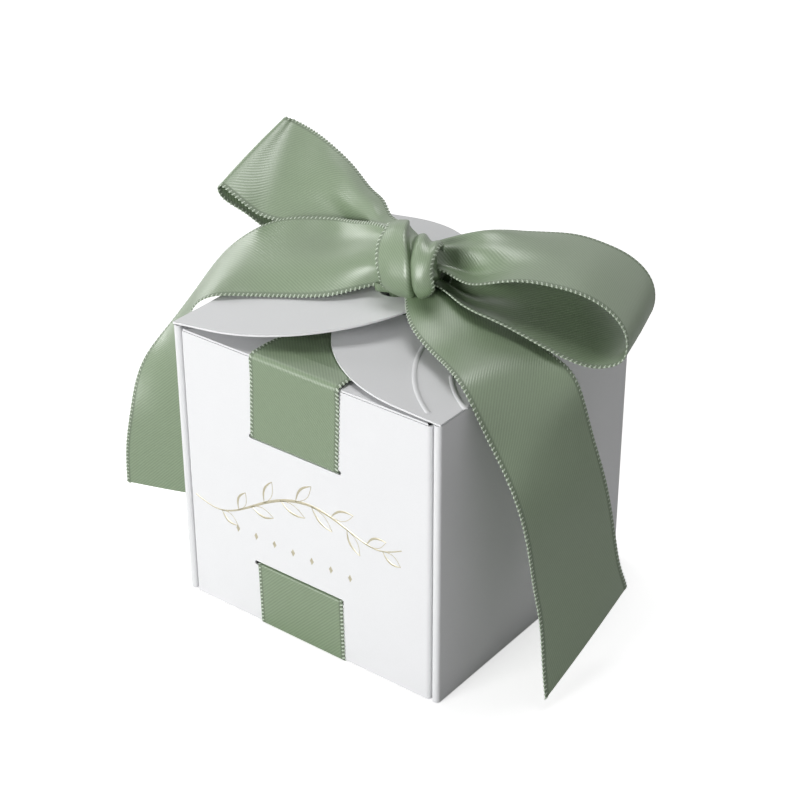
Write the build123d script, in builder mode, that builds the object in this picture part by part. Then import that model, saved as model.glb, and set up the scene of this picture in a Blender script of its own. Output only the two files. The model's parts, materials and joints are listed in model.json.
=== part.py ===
"""Favor box: a folded white card carton, tied with a woven-in satin ribbon and a bow.

Frame: millimetres, X to the right along the front face, Y from front to back, Z up.
The origin is the centre of the face that the box rests on, on the underside of the ribbon.
"""
import os
from math import cos, pi, radians, sin, tan

from build123d import *

# Carton
box_width = 75.0            # outside, left wall to right wall
box_depth = 74.8            # outside, front wall to back wall
box_height = 72.8           # table to the creases of the round top flaps
card = 0.45                 # thickness of the card
crease_gap = 0.1            # free play between a wall's top edge and its flap
seat_gap = 0.3              # clearance of a piece that lies loosely over another

# Corners, where the walls turn inward to the folded webs
fold_radius = 1.0           # outside radius of a front or back wall's turned edge
front_lip = 1.0             # straight part of that turned edge
side_edge_width = 2.0       # width of a side wall's edge, turned back on itself
corner_slit = 0.35          # dark slit between the two turned edges
web_reach = 16.0            # how far a web reaches along its side wall
web_step_down = 0.6         # top of the webs below the short walls' top edge

# Round top flaps
lobe_past_middle = 11.0     # how far a round flap's nose reaches past the middle of the box
lobe_straight_share = 0.233 # straight run of a round flap before its nose, of its length
lobe_trim = 0.2             # round flaps end this much inside the wall at each side
ribbon_hole_radius = 6.0    # hole in each round flap for the gathered ribbon
left_flap_tilt = 8.0        # degrees, resting slope of the upper round flap
right_flap_tilt = 2.0       # degrees, resting slope of the lower round flap

# Short flaps
short_flap_length = 26.0    # front to back
short_flap_corner = 3.0     # radius of their free corners
short_flap_dip = 1.5        # degrees, how far they slope down into the box

# Ribbon round the carton
ribbon_width = 25.0
ribbon_thickness = 0.3
slot_width = 26.6           # ribbon slots in the front and back walls
slot_height = 1.1
upper_slot_level = 51.0     # table to the middle of the slot
lower_slot_level = 16.5
slot_offset = -2.4          # the slots sit left of the middle of the face
ribbon_base_offset = -0.7   # middle of the ribbon where it runs under the box
ribbon_slot_offset = -2.6   # middle of the ribbon in the slots
ribbon_top_offset = -0.5    # middle of the ribbon at the top edge of a wall
gathered_width = 11.0       # ribbon width where it comes up between the flaps
gather_start = 9.0          # distance from the crease where it starts to gather
gather_end_gap = 1.2        # the gathered ends stop this far from the middle

# Bow
bow_rise = 25.0             # scale of the bow's rises above the flaps
bow_cloth = 0.5             # thickness of the bow's ribbon with its stitched edges
section_steps = 3           # flats across the ribbon in each cross-section
knot_length = 17.0          # across the box
knot_depth = 18.0           # front to back
knot_height = 16.4          # bottom to top
knot_across = 5.2           # middle of the knot, right of the middle of the box
knot_sides = 12             # flats round the knot in each cross-section
knot_forward = 3.0          # middle of the knot, in front of the middle of the box
stem_length = 9.0           # gathered ribbon under the knot, front to back
stem_width = 6.0            # the same, across the box
stem_seat = 1.2             # how far the stem reaches into the knot

cut_overrun = 2.0           # how far every cut runs past the piece it cuts

# Places that follow from these sizes
half_width = box_width / 2
half_depth = box_depth / 2
half_ribbon = ribbon_width / 2
floor_level = ribbon_thickness
side_wall_top = box_height - card - crease_gap
short_crease = box_height - card - seat_gap
front_wall_top = short_crease - card - crease_gap
web_top = front_wall_top - web_step_down
side_edge_radius = side_edge_width / 2
side_edge_inner = half_width - side_edge_width
front_wall_half = side_edge_inner - corner_slit
lip_end = half_depth - fold_radius - front_lip
lobe_half = half_depth - lobe_trim
lobe_length = half_width + lobe_past_middle
lobe_straight = lobe_straight_share * lobe_length
left_slope = tan(radians(left_flap_tilt))


def save(part, name):
    """Label a finished piece and write it to its own file."""
    part.label = name
    export_step(part, f"parts/{name}.step")
    return part


# Carton walls, drawn in plan and raised


def make_front_wall():
    """Flat panel with both side edges turned inward and two slots for the ribbon."""
    flat_half = front_wall_half - fold_radius
    turn_start = fold_radius - half_depth
    with BuildPart() as wall:
        with BuildSketch(Plane.XY.offset(floor_level)):
            with BuildLine():
                outside = Line((0, -half_depth), (flat_half, -half_depth))
                turn = RadiusArc(outside @ 1, (front_wall_half, turn_start), -fold_radius)
                lip = Polyline(turn @ 1, (front_wall_half, -lip_end), (front_wall_half - card, -lip_end),
                               (front_wall_half - card, turn_start))
                back_turn = RadiusArc(lip @ 1, (flat_half, card - half_depth), fold_radius - card)
                Polyline(back_turn @ 1, (0, card - half_depth), (0, -half_depth))
            make_face()
            mirror(about=Plane.YZ)
        extrude(amount=front_wall_top - floor_level)
        with BuildSketch(Plane.XZ.offset(half_depth + cut_overrun)):
            with Locations((slot_offset, lower_slot_level), (slot_offset, upper_slot_level)):
                SlotOverall(slot_width, slot_height)
        extrude(amount=-(card + 2 * cut_overrun), mode=Mode.SUBTRACT)
    return wall.part


def make_right_wall():
    """Flat panel with its front and back edges turned right back on themselves."""
    turn_start = side_edge_radius - half_depth
    with BuildPart() as wall:
        with BuildSketch(Plane.XY.offset(floor_level)):
            with BuildLine():
                outside = Line((half_width, 0), (half_width, turn_start))
                turn = ThreePointArc(outside @ 1, (half_width - side_edge_radius, -half_depth),
                                     (side_edge_inner, turn_start))
                lip = Polyline(turn @ 1, (side_edge_inner, -lip_end), (side_edge_inner + card, -lip_end),
                               (side_edge_inner + card, turn_start))
                back_turn = ThreePointArc(lip @ 1, (half_width - side_edge_radius, card - half_depth),
                                          (half_width - card, turn_start))
                Polyline(back_turn @ 1, (half_width - card, 0), (half_width, 0))
            make_face()
            mirror(about=Plane.XZ)
        extrude(amount=side_wall_top - floor_level)
    return wall.part


def make_web():
    """Doubled corner web at the front right: two leaves and the fold between them."""
    fold_place = web_reach - lip_end
    leaf_inner = front_wall_half - card
    leaf_outer = side_edge_inner + card
    fold_middle = (leaf_inner + leaf_outer) / 2
    with BuildPart() as web:
        with BuildSketch(Plane.XY.offset(floor_level + card)):
            with BuildLine():
                inner_leaf = Line((leaf_inner, -lip_end), (leaf_inner, fold_place))
                fold = ThreePointArc(inner_leaf @ 1, (fold_middle, fold_place + card + corner_slit / 2),
                                     (leaf_outer, fold_place))
                outer_leaf = Polyline(fold @ 1, (leaf_outer, -lip_end), (side_edge_inner, -lip_end),
                                      (side_edge_inner, fold_place))
                inside = ThreePointArc(outer_leaf @ 1, (fold_middle, fold_place + corner_slit / 2),
                                       (front_wall_half, fold_place))
                Polyline(inside @ 1, (front_wall_half, -lip_end), (leaf_inner, -lip_end))
            make_face()
        extrude(amount=web_top - floor_level - card)
    return web.part


def make_base_panel():
    """Floor of the box, notched at its corners for the turned wall edges."""
    notch_width = side_edge_width + corner_slit + fold_radius - card
    notch_depth = fold_radius + front_lip - card
    with BuildPart() as base:
        with BuildSketch(Plane.XY.offset(floor_level)):
            Rectangle(box_width - 2 * card, box_depth - 2 * card)
            with GridLocations(box_width - 2 * card, box_depth - 2 * card, 2, 2):
                Rectangle(2 * notch_width, 2 * notch_depth, mode=Mode.SUBTRACT)
        extrude(amount=card)
    return base.part


# Top flaps, drawn flat in the plane they rest in, with the crease along its Y axis or X axis


def round_flap_plane(side, tilt):
    """Top surface of a round flap that rises from the wall at side -1 (left) or 1 (right)."""
    slope = radians(tilt)
    return Plane(origin=(side * half_width, 0, box_height),
                 x_dir=(-side * cos(slope), 0, sin(slope)),
                 z_dir=(side * sin(slope), 0, cos(slope)))


def make_round_flap(side, tilt):
    """Round-nosed flap with a hole over the middle of the box for the gathered ribbon."""
    with BuildPart() as flap:
        with BuildSketch(round_flap_plane(side, tilt)):
            with BuildLine():
                near = Polyline((lobe_straight, -lobe_half), (0, -lobe_half), (0, lobe_half),
                                (lobe_straight, lobe_half))
                ThreePointArc(near @ 1, (lobe_length, 0), near @ 0)
            make_face()
            with Locations((half_width / cos(radians(tilt)), 0)):
                Circle(ribbon_hole_radius, mode=Mode.SUBTRACT)
        extrude(amount=-card)
    return flap.part


def short_flap_plane():
    """Top surface of the front flap, with X along the crease and Y down its slope."""
    dip = radians(short_flap_dip)
    return Plane(origin=(0, -half_depth, short_crease), x_dir=(1, 0, 0), z_dir=(0, sin(dip), cos(dip)))


def make_front_flap():
    """Short mitred flap that clears the round flaps as they open."""
    root_half = front_wall_half - card - seat_gap
    nose_half = root_half - short_flap_length
    with BuildPart() as flap:
        with BuildSketch(short_flap_plane()) as outline:
            with BuildLine():
                Polyline((-root_half, crease_gap), (root_half, crease_gap), (nose_half, short_flap_length),
                         (-nose_half, short_flap_length), close=True)
            make_face()
            fillet(outline.vertices().group_by(Axis.Y)[-1], short_flap_corner)
        extrude(amount=-card)
    return flap.part


# Ribbon round the carton


def upright_ribbon(low, high, low_offset, high_offset):
    """Stretch of ribbon on the outside of the front wall, leaning from one offset to the other."""
    with BuildPart() as ribbon:
        with BuildSketch(Plane.XZ.offset(half_depth)):
            with BuildLine():
                Polyline((low_offset - half_ribbon, low), (low_offset + half_ribbon, low),
                         (high_offset + half_ribbon, high), (high_offset - half_ribbon, high), close=True)
            make_face()
        extrude(amount=ribbon_thickness)
    return ribbon.part


def make_front_inner_ribbon():
    """Stretch behind the front wall, with its two ends passing out through the slots."""
    outside = -half_depth
    inside = card - half_depth
    far_side = inside + ribbon_thickness
    half_cloth = ribbon_thickness / 2
    with BuildPart() as ribbon:
        with BuildSketch(Plane.YZ.offset(ribbon_slot_offset - half_ribbon)):
            with BuildLine():
                Polyline((outside, upper_slot_level + half_cloth), (far_side, upper_slot_level + half_cloth),
                         (far_side, lower_slot_level - half_cloth), (outside, lower_slot_level - half_cloth),
                         (outside, lower_slot_level + half_cloth), (inside, lower_slot_level + half_cloth),
                         (inside, upper_slot_level - half_cloth), (outside, upper_slot_level - half_cloth),
                         close=True)
            make_face()
        extrude(amount=ribbon_width)
    return ribbon.part


def make_ribbon_under_base():
    """Stretch that the box stands on."""
    with BuildPart() as ribbon:
        with BuildSketch(Plane.XY):
            with Locations((ribbon_base_offset, 0)):
                Rectangle(ribbon_width, box_depth)
        extrude(amount=ribbon_thickness)
    return ribbon.part


def make_ribbon_over_front_flap():
    """Stretch that lies on the front flap and gathers towards the middle of the box."""
    start = card
    end = half_depth - gather_end_gap
    half_gathered = gathered_width / 2
    with BuildPart() as ribbon:
        with BuildSketch(short_flap_plane()):
            with BuildLine():
                Polyline((ribbon_top_offset - half_ribbon, start), (ribbon_top_offset + half_ribbon, start),
                         (ribbon_top_offset + half_ribbon, gather_start), (half_gathered, end),
                         (-half_gathered, end), (ribbon_top_offset - half_ribbon, gather_start), close=True)
            make_face()
        extrude(amount=ribbon_thickness)
    return ribbon.part


# Bow. Each row of shares places one cross-section of a run of ribbon: across and back (of half
# the box's width), up (of the bow's rise, over the flaps), down (of the box's height), the
# direction across the ribbon in x, y and z, its width, the height of its crown and that of the
# roll from one half of its width to the other (these three of the ribbon's width).

left_tail_shares = [
    (0.017, -0.133, 0.328, 0.000, -0.08, 0.40, 0.91, 0.36, 0.05, 0.03),
    (-0.100, -0.080, 0.340, 0.000, -0.30, 0.52, 0.80, 0.50, 0.08, 0.05),
    (-0.480, -0.100, 0.260, 0.000, -0.54, 0.77, 0.34, 0.98, 0.07, 0.05),
    (-0.950, -0.250, 0.220, 0.000, -0.43, 0.85, 0.30, 1.00, 0.02, 0.01),
    (-1.190, -0.360, 0.050, 0.000, -0.52, 0.85, 0.02, 1.00, 0.01, 0.00),
    (-1.350, -0.430, 0.000, 0.090, -0.60, 0.78, -0.18, 1.00, 0.01, 0.00),
    (-1.420, -0.510, 0.000, 0.240, -0.84, 0.52, -0.17, 1.00, 0.01, 0.00),
    (-1.450, -0.550, 0.000, 0.380, -0.99, 0.10, -0.03, 1.00, 0.01, 0.00),
    (-1.470, -0.550, 0.000, 0.530, -0.96, -0.26, 0.03, 1.00, 0.01, 0.00),
    (-1.520, -0.580, 0.000, 0.830, -0.94, -0.33, 0.00, 1.00, 0.01, 0.00),
]
right_tail_shares = [
    (0.220, -0.100, 0.090, 0.000, 0.37, 0.92, 0.13, 0.39, 0.06, 0.00),
    (0.410, -0.200, 0.010, 0.000, 0.23, 0.97, 0.06, 0.67, 0.06, 0.00),
    (0.670, -0.250, -0.060, 0.000, 0.22, 0.97, 0.06, 0.89, 0.05, 0.00),
    (1.050, -0.400, -0.170, 0.000, 0.18, 0.98, 0.05, 0.99, 0.03, 0.00),
    (1.220, -0.400, 0.000, 0.060, 0.20, 0.92, 0.33, 1.01, 0.02, 0.00),
    (1.340, -0.380, 0.000, 0.200, 0.16, 0.94, 0.29, 0.99, 0.01, 0.00),
    (1.430, -0.350, 0.000, 0.360, 0.16, 0.96, 0.24, 1.00, 0.01, 0.00),
    (1.520, -0.280, 0.000, 0.690, 0.20, 0.94, 0.26, 1.01, 0.01, 0.00),
    (1.570, -0.270, 0.000, 0.850, 0.09, 0.86, 0.50, 1.28, 0.01, 0.00),
]
left_loop_shares = [
    (0.027, 0.024, 0.344, 0.000, 0.00, 0.47, 0.88, 0.29, 0.06, -0.03),
    (-0.380, 0.210, 0.420, 0.000, -0.07, 0.57, 0.82, 0.45, 0.10, -0.06),
    (-0.750, 0.310, 0.550, 0.000, -0.15, 0.73, 0.67, 0.72, 0.08, -0.04),
    (-1.230, 0.330, 0.700, 0.000, -0.08, 0.82, 0.56, 1.04, 0.02, 0.00),
    (-1.380, 0.320, 0.780, 0.000, -0.07, 0.89, 0.46, 1.05, 0.01, 0.00),
    (-1.448, 0.309, 0.824, 0.000, 0.07, 0.90, 0.42, 1.00, 0.01, 0.00),
    (-1.467, 0.309, 0.826, 0.000, 0.07, 0.90, 0.42, 1.00, 0.01, 0.00),
    (-1.483, 0.309, 0.812, 0.000, 0.07, 0.90, 0.42, 1.00, 0.01, 0.00),
    (-1.493, 0.309, 0.788, 0.000, 0.07, 0.90, 0.42, 1.00, 0.01, 0.00),
    (-1.492, 0.309, 0.760, 0.000, 0.07, 0.90, 0.42, 1.00, 0.01, 0.00),
    (-1.440, 0.330, 0.650, 0.000, 0.07, 0.91, 0.41, 1.00, 0.01, 0.00),
    (-1.220, 0.400, 0.430, 0.000, 0.00, 0.93, 0.36, 1.00, 0.02, 0.00),
    (-0.880, 0.430, 0.310, 0.000, 0.00, 0.95, 0.30, 0.92, 0.03, 0.00),
    (-0.640, 0.350, 0.220, 0.000, 0.00, 0.95, 0.30, 0.72, 0.04, 0.00),
    (-0.370, 0.240, 0.240, 0.000, 0.00, 0.90, 0.43, 0.52, 0.05, 0.00),
    (-0.130, 0.130, 0.220, 0.000, 0.00, 0.90, 0.43, 0.36, 0.05, 0.00),
    (0.032, 0.040, 0.148, 0.000, 0.00, 0.98, 0.21, 0.25, 0.03, 0.00),
]
right_loop_shares = [
    (0.240, 0.070, 0.360, 0.000, -0.20, 0.95, 0.24, 0.36, 0.03, -0.06),
    (0.510, 0.100, 0.410, 0.000, -0.26, 0.93, 0.25, 0.76, 0.03, -0.08),
    (0.630, 0.150, 0.440, 0.000, -0.35, 0.93, 0.11, 0.88, 0.03, -0.05),
    (0.770, 0.240, 0.450, 0.000, -0.37, 0.93, 0.03, 0.96, 0.03, -0.02),
    (1.090, 0.390, 0.380, 0.000, -0.34, 0.94, 0.02, 1.00, 0.02, 0.00),
    (1.250, 0.440, 0.270, 0.000, -0.33, 0.94, 0.03, 1.00, 0.01, 0.00),
    (1.360, 0.440, 0.140, 0.000, -0.29, 0.96, -0.02, 1.00, 0.01, 0.00),
    (1.410, 0.410, -0.030, 0.000, -0.30, 0.95, -0.11, 0.99, 0.01, 0.00),
    (1.390, 0.370, -0.170, 0.000, -0.36, 0.92, -0.15, 1.00, 0.01, 0.00),
    (1.300, 0.320, -0.220, 0.000, -0.41, 0.91, -0.07, 1.00, 0.01, 0.00),
    (1.160, 0.230, -0.180, 0.000, -0.46, 0.89, 0.00, 1.00, 0.01, 0.00),
    (0.820, 0.130, -0.010, 0.000, -0.47, 0.88, -0.03, 1.00, 0.03, 0.00),
    (0.450, 0.010, 0.140, 0.000, -0.42, 0.90, 0.08, 0.64, 0.08, 0.02),
    (0.250, 0.010, 0.200, 0.000, -0.42, 0.88, 0.21, 0.40, 0.06, 0.01),
]


def ridge(across):
    """Height of the upper round flap over the box's top edge, at a place across the box."""
    return left_slope * min(max(half_width + across, 0), lobe_length)


def ribbon_frame(row):
    """Middle and direction across the ribbon for one row of shares."""
    across = row[0] * half_width
    level = (1 - row[3]) * box_height + row[2] * bow_rise
    if row[3] == 0:
        level += ridge(across)
    return Vector(across, row[1] * half_width, level), Vector(row[4], row[5], row[6]).normalized()


def section_plane(frames, index):
    """Plane square to a run of ribbon at one of its rows, with X across the ribbon."""
    middle, sideways = frames[index]
    before = frames[max(index - 1, 0)][0]
    after = frames[min(index + 1, len(frames) - 1)][0]
    ahead = (after - before).normalized()
    return Plane(origin=middle, x_dir=sideways, z_dir=ahead - sideways * ahead.dot(sideways))


def make_bow_ribbon(shares, side):
    """Run of ribbon on the left (-1) or right (1), lofted out to its furthest row and back."""
    frames = [ribbon_frame(row) for row in shares]
    furthest = max(range(len(shares)), key=lambda index: abs(shares[index][0]))
    spans = [range(furthest + 1), range(furthest, len(shares))]
    with BuildPart() as ribbon:
        for span in spans:
            if len(span) < 2:
                continue
            for index in span:
                width_share, crown_share, roll_share = shares[index][7:]
                outer = []
                inner = []
                for step in range(section_steps + 1):
                    turn = pi * step / section_steps
                    place = (step / section_steps - 0.5) * width_share * ribbon_width
                    fold = (crown_share * sin(turn) + roll_share * sin(2 * turn)) * ribbon_width
                    outer.append((place, side * fold))
                    inner.append((place, side * (fold - bow_cloth)))
                with BuildSketch(section_plane(frames, index)):
                    with BuildLine():
                        Polyline(*outer, *reversed(inner), close=True)
                    make_face()
            loft(ruled=True)
    return ribbon.part


# Knot: oval sections along its length, as (place along it, share of its depth, share of its height)
knot_shares = [(-0.50, 0.62, 0.60), (-0.32, 0.92, 0.90), (-0.10, 1.00, 1.00),
               (0.10, 0.84, 0.82), (0.28, 0.92, 0.88), (0.50, 0.60, 0.52)]
knot_level = (box_height + ridge(knot_across + knot_length / 3)) + seat_gap + knot_height / 2


def make_knot():
    """Wrapped knot with a valley between its two pleats."""
    with BuildPart() as knot:
        for along, depth_share, height_share in knot_shares:
            place = (knot_across + along * knot_length, -knot_forward, knot_level)
            half_section_depth = depth_share * knot_depth / 2
            half_section_height = height_share * knot_height / 2
            corners = []
            for side in range(knot_sides):
                turn = 2 * pi * side / knot_sides
                corners.append((half_section_depth * cos(turn), half_section_height * sin(turn)))
            with BuildSketch(Plane(origin=place, x_dir=(0, 1, 0), z_dir=(1, 0, 0))):
                with BuildLine():
                    Polyline(*corners, close=True)
                make_face()
        loft(ruled=True)
    return knot.part


def make_stem():
    """Gathered ribbon that comes up through the round flaps into the knot."""
    flap_drop = (half_depth - stem_length / 2) * sin(radians(short_flap_dip))
    bottom = short_crease - flap_drop + ribbon_thickness + seat_gap
    with BuildPart() as stem:
        with BuildSketch(Plane.XY.offset(bottom)):
            Ellipse(stem_width / 2, stem_length / 2)
        extrude(amount=knot_level - knot_height / 2 + stem_seat - bottom)
    return stem.part


os.makedirs("parts", exist_ok=True)

front_wall = save(make_front_wall(), "front_wall")
back_wall = save(front_wall.mirror(Plane.XZ), "back_wall")
right_wall = save(make_right_wall(), "right_wall")
left_wall = save(right_wall.mirror(Plane.YZ), "left_wall")
base_panel = save(make_base_panel(), "base_panel")

front_right_web = save(make_web(), "front_right_web")
front_left_web = save(front_right_web.mirror(Plane.YZ), "front_left_web")
back_right_web = save(front_right_web.mirror(Plane.XZ), "back_right_web")
back_left_web = save(front_left_web.mirror(Plane.XZ), "back_left_web")

left_flap = save(make_round_flap(-1, left_flap_tilt), "left_flap")
right_flap = save(make_round_flap(1, right_flap_tilt), "right_flap")
front_flap = save(make_front_flap(), "front_flap")
back_flap = save(front_flap.mirror(Plane.XZ), "back_flap")

ribbon_under_base = save(make_ribbon_under_base(), "ribbon_under_base")
slot_cloth = ribbon_thickness / 2
front_lower = upright_ribbon(0, lower_slot_level + slot_cloth, ribbon_base_offset, ribbon_slot_offset)
front_upper = upright_ribbon(upper_slot_level - slot_cloth, short_crease - crease_gap,
                             ribbon_slot_offset, ribbon_top_offset)
front_ribbons = [(front_lower, "lower"), (make_front_inner_ribbon(), "inner"), (front_upper, "upper")]
for stretch, place_name in front_ribbons:
    save(stretch, f"ribbon_front_{place_name}")
    save(stretch.mirror(Plane.XZ), f"ribbon_back_{place_name}")
over_front_flap = save(make_ribbon_over_front_flap(), "ribbon_over_front_flap")
save(over_front_flap.mirror(Plane.XZ), "ribbon_over_back_flap")

save(make_stem(), "ribbon_stem")
save(make_knot(), "bow_knot")
bow_runs = [("left_loop", left_loop_shares, -1), ("right_loop", right_loop_shares, 1),
            ("left_tail", left_tail_shares, -1), ("right_tail", right_tail_shares, 1)]
for run_name, run_shares, run_side in bow_runs:
    save(make_bow_ribbon(run_shares, run_side), run_name)
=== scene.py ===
"""Favor box dressed for its picture: white card, sage satin ribbon with stitched edges, and a bow.

Lengths in the tables are in millimetres or shares, and everything made is in metres, in the same
frame as the carton: X to the right along the front face, Y from front to back, Z up.
"""
import json
import math

import bmesh
import bpy
import numpy as np
from mathutils import Matrix, Vector


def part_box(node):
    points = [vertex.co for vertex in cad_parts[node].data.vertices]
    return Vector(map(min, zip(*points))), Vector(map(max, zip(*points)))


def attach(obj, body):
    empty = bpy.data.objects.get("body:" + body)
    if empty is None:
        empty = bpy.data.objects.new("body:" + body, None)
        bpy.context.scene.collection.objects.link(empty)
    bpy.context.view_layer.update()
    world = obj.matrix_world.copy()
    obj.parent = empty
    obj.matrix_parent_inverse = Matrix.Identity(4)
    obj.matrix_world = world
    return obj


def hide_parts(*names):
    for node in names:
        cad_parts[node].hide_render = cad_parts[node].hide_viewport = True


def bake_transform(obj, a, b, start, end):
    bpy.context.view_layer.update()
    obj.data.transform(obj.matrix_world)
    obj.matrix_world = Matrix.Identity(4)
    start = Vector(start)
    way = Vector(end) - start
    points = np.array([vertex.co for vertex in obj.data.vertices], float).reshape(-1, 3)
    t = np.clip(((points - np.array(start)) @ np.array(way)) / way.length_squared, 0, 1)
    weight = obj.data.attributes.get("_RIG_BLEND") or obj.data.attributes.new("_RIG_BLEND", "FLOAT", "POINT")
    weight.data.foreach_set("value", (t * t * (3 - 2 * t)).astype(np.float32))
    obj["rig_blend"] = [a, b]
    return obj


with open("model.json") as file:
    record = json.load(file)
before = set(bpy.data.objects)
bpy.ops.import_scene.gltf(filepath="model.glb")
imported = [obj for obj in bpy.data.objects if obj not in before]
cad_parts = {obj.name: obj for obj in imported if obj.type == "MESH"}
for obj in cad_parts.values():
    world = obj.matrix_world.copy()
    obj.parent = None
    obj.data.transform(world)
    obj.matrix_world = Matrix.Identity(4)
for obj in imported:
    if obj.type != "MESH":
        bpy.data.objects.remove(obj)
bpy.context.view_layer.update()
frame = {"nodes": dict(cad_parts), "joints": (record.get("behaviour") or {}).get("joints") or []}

bl_info = {
    "name": "Favor box",
    "version": (1, 0, 0),
    "blender": (4, 5, 0),
    "location": "View3D > Sidebar > Favor box",
    "description": "Card, ribbon and bow of a small folded favor box",
    "category": "Object",
}

mm = 0.001

# Carton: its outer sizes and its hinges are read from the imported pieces
hinges = {joint["name"]: Vector(joint["pos_m"]) for joint in frame["joints"] if "pos_m" in joint}
half_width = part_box("right_wall")[1].x
half_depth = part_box("back_wall")[1].y
box_height = hinges["left_flap_hinge"].z
short_crease = hinges["front_flap_hinge"].z
card = 0.45 * mm
lobe_reach = 11.0 * mm          # the round flaps' noses past the middle of the box
lobe_length = half_width + lobe_reach
left_flap_tilt = 8.0            # degrees
right_flap_tilt = 2.0
short_flap_dip = 1.5

# Ribbon round the carton
ribbon_width = 25.0 * mm
carton_cloth = 0.3 * mm         # thickness of the flat stretches
bow_cloth = 0.36 * mm           # thickness of the bow's runs
stitch_height = 0.43 * mm       # over and under the cloth together
stitch_slant = 0.5              # radians, from square across the edge
stitch_inset = 0.3 * mm         # middle of the stitches, in from the edge
duller_edge = 0.75 * mm         # width of the woven edge, under the stitches
satin_start = 1.15 * mm         # from the edge to where the satin has its full gloss
upper_slot = 51.0 * mm
lower_slot = 16.5 * mm
slot_offset = -2.6 * mm
top_offset = -0.5 * mm
base_offset = -0.7 * mm
bend_radius = 1.3 * mm          # of the ribbon over the box's top edge
bend_proud = 0.45 * mm          # how far it stands off that edge
bend_bulges = [(5.0 * mm, 0.8 * mm), (11.0 * mm, 0.5 * mm)]     # behind the edge, and over the flap
over_flap_length = 22.0 * mm    # from the wall's face to the ribbon's end over a short flap
slot_ends = 3.0 * mm            # behind a wall, both stretches end this far under the upper slot
off_wall = 0.55 * carton_cloth  # from a wall's outer face to the middle of the cloth on it
off_card = 0.6 * carton_cloth   # from a wall's inner face or a flap's top
slot_part_end = 6.0 * mm        # under the short flap's crease: the high stretch's lower part ends
bend_part_start = 5.0 * mm      # and the part that goes over the edge starts
crease_reach = 0.6 * mm         # the cloth bends this far to each side of a crease
strip_step = 1.5 * mm
strip_columns = 21

# Bow
bow_rise = 25.0 * mm

# Camera, from the box's corners in the photograph
frame_pixels = 800
focal_pixels = 1951.0
sensor_width = 36.0             # the camera's own unit
camera_place = (240.2 * mm, -313.9 * mm, 277.9 * mm)
camera_azimuth = 37.61          # degrees
camera_elevation = 30.14
camera_roll = -0.2

# Lamps: the setting with the power, the side in metres, the direction it shines from, and how far
# from the middle of the box it stands
lamps = [
    ("key", 0.42, (-0.15, -0.95, 0.26), 0.85),
    ("top", 0.34, (-0.10, 0.15, 0.98), 0.75),
    ("side", 0.30, (-0.95, 0.12, 0.24), 0.75),
]
white = (1.0, 1.0, 1.0, 1.0)
floor_reach = 6.0
floor_glow = 0.62               # lifts the floor to white for the camera alone


# Settings


def colour_setting(name, description, default):
    """Colour that the panel shows."""
    return bpy.props.FloatVectorProperty(name=name, description=description, subtype="COLOR", size=3,
                                         min=0, max=1, default=default)


def length_setting(name, description, default):
    """Length that the panel shows in the scene's unit."""
    return bpy.props.FloatProperty(name=name, description=description, unit="LENGTH", default=default)


def share_setting(name, description, default):
    """Share from 0 to 1 that the panel shows."""
    return bpy.props.FloatProperty(name=name, description=description, subtype="FACTOR",
                                   min=0, max=1, default=default)


def power_setting(name, description, default):
    """Power of a lamp, in watts."""
    return bpy.props.FloatProperty(name=name, description=description, unit="POWER", default=default)


class FavorBoxCard(bpy.types.PropertyGroup):
    """White card of the carton."""
    colour: colour_setting("Card colour", "Colour of the coated card", (0.80, 0.805, 0.815))
    foil_colour: colour_setting("Foil colour", "Colour of the pressed foil", (0.62, 0.57, 0.42))
    roughness: share_setting("Card roughness", "Gloss of the card, 1 is matt", 0.55)


class FavorBoxRibbon(bpy.types.PropertyGroup):
    """Satin ribbon."""
    colour: colour_setting("Ribbon colour", "Colour of the satin", (0.194, 0.266, 0.158))
    stitch_colour: colour_setting("Stitch colour", "Colour of the edge stitches", (0.54, 0.62, 0.50))
    rib_pitch: length_setting("Rib pitch", "Distance between the satin's fine slanting ribs", 0.62 * mm)
    stitch_pitch: length_setting("Stitch pitch", "Distance between two edge stitches", 1.05 * mm)
    stitch_length: length_setting("Stitch length", "How far a stitch reaches in from the edge", 1.40 * mm)
    stitch_width: length_setting("Stitch width", "Width of one stitch along the edge", 0.64 * mm)
    roughness: share_setting("Satin roughness", "Width of the satin's highlights", 0.36)


class FavorBoxStage(bpy.types.PropertyGroup):
    """Lamps, floor and background."""
    key_power: power_setting("Key lamp", "Power of the large lamp at the front", 5.2)
    top_power: power_setting("Top lamp", "Power of the soft lamp overhead", 1.9)
    side_power: power_setting("Side lamp", "Power of the low soft lamp at the left", 1.7)
    fill_strength: bpy.props.FloatProperty(
        name="Room light", description="Strength of the soft light from all round", default=0.15)
    floor_colour: colour_setting("Floor colour", "Colour of the pale floor", (0.86, 0.86, 0.86))


# Curves and grids


def natural_spline(places, values, wanted):
    """Smooth curve through rows of values at the given places, read at the wanted places."""
    count = len(places)
    gaps = np.diff(places)
    system = np.eye(count)
    right = np.zeros(values.shape)
    for row in range(1, count - 1):
        system[row, row - 1:row + 2] = gaps[row - 1], 2 * (gaps[row - 1] + gaps[row]), gaps[row]
        steps = np.diff(values[row - 1:row + 2], axis=0) / gaps[row - 1:row + 1, None]
        right[row] = 6 * (steps[1] - steps[0])
    bends = np.linalg.solve(system, right)
    span = np.clip(np.searchsorted(places, wanted, side="right") - 1, 0, count - 2)
    gap = gaps[span][:, None]
    ahead = (wanted - places[span])[:, None] / gap
    behind = 1 - ahead
    cubic = (behind ** 3 - behind) * bends[span] + (ahead ** 3 - ahead) * bends[span + 1]
    return behind * values[span] + ahead * values[span + 1] + gap ** 2 / 6 * cubic


def unit(vectors):
    """Vectors in the last axis, made one long."""
    return vectors / np.maximum(np.linalg.norm(vectors, axis=-1, keepdims=True), 1e-12)


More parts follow.
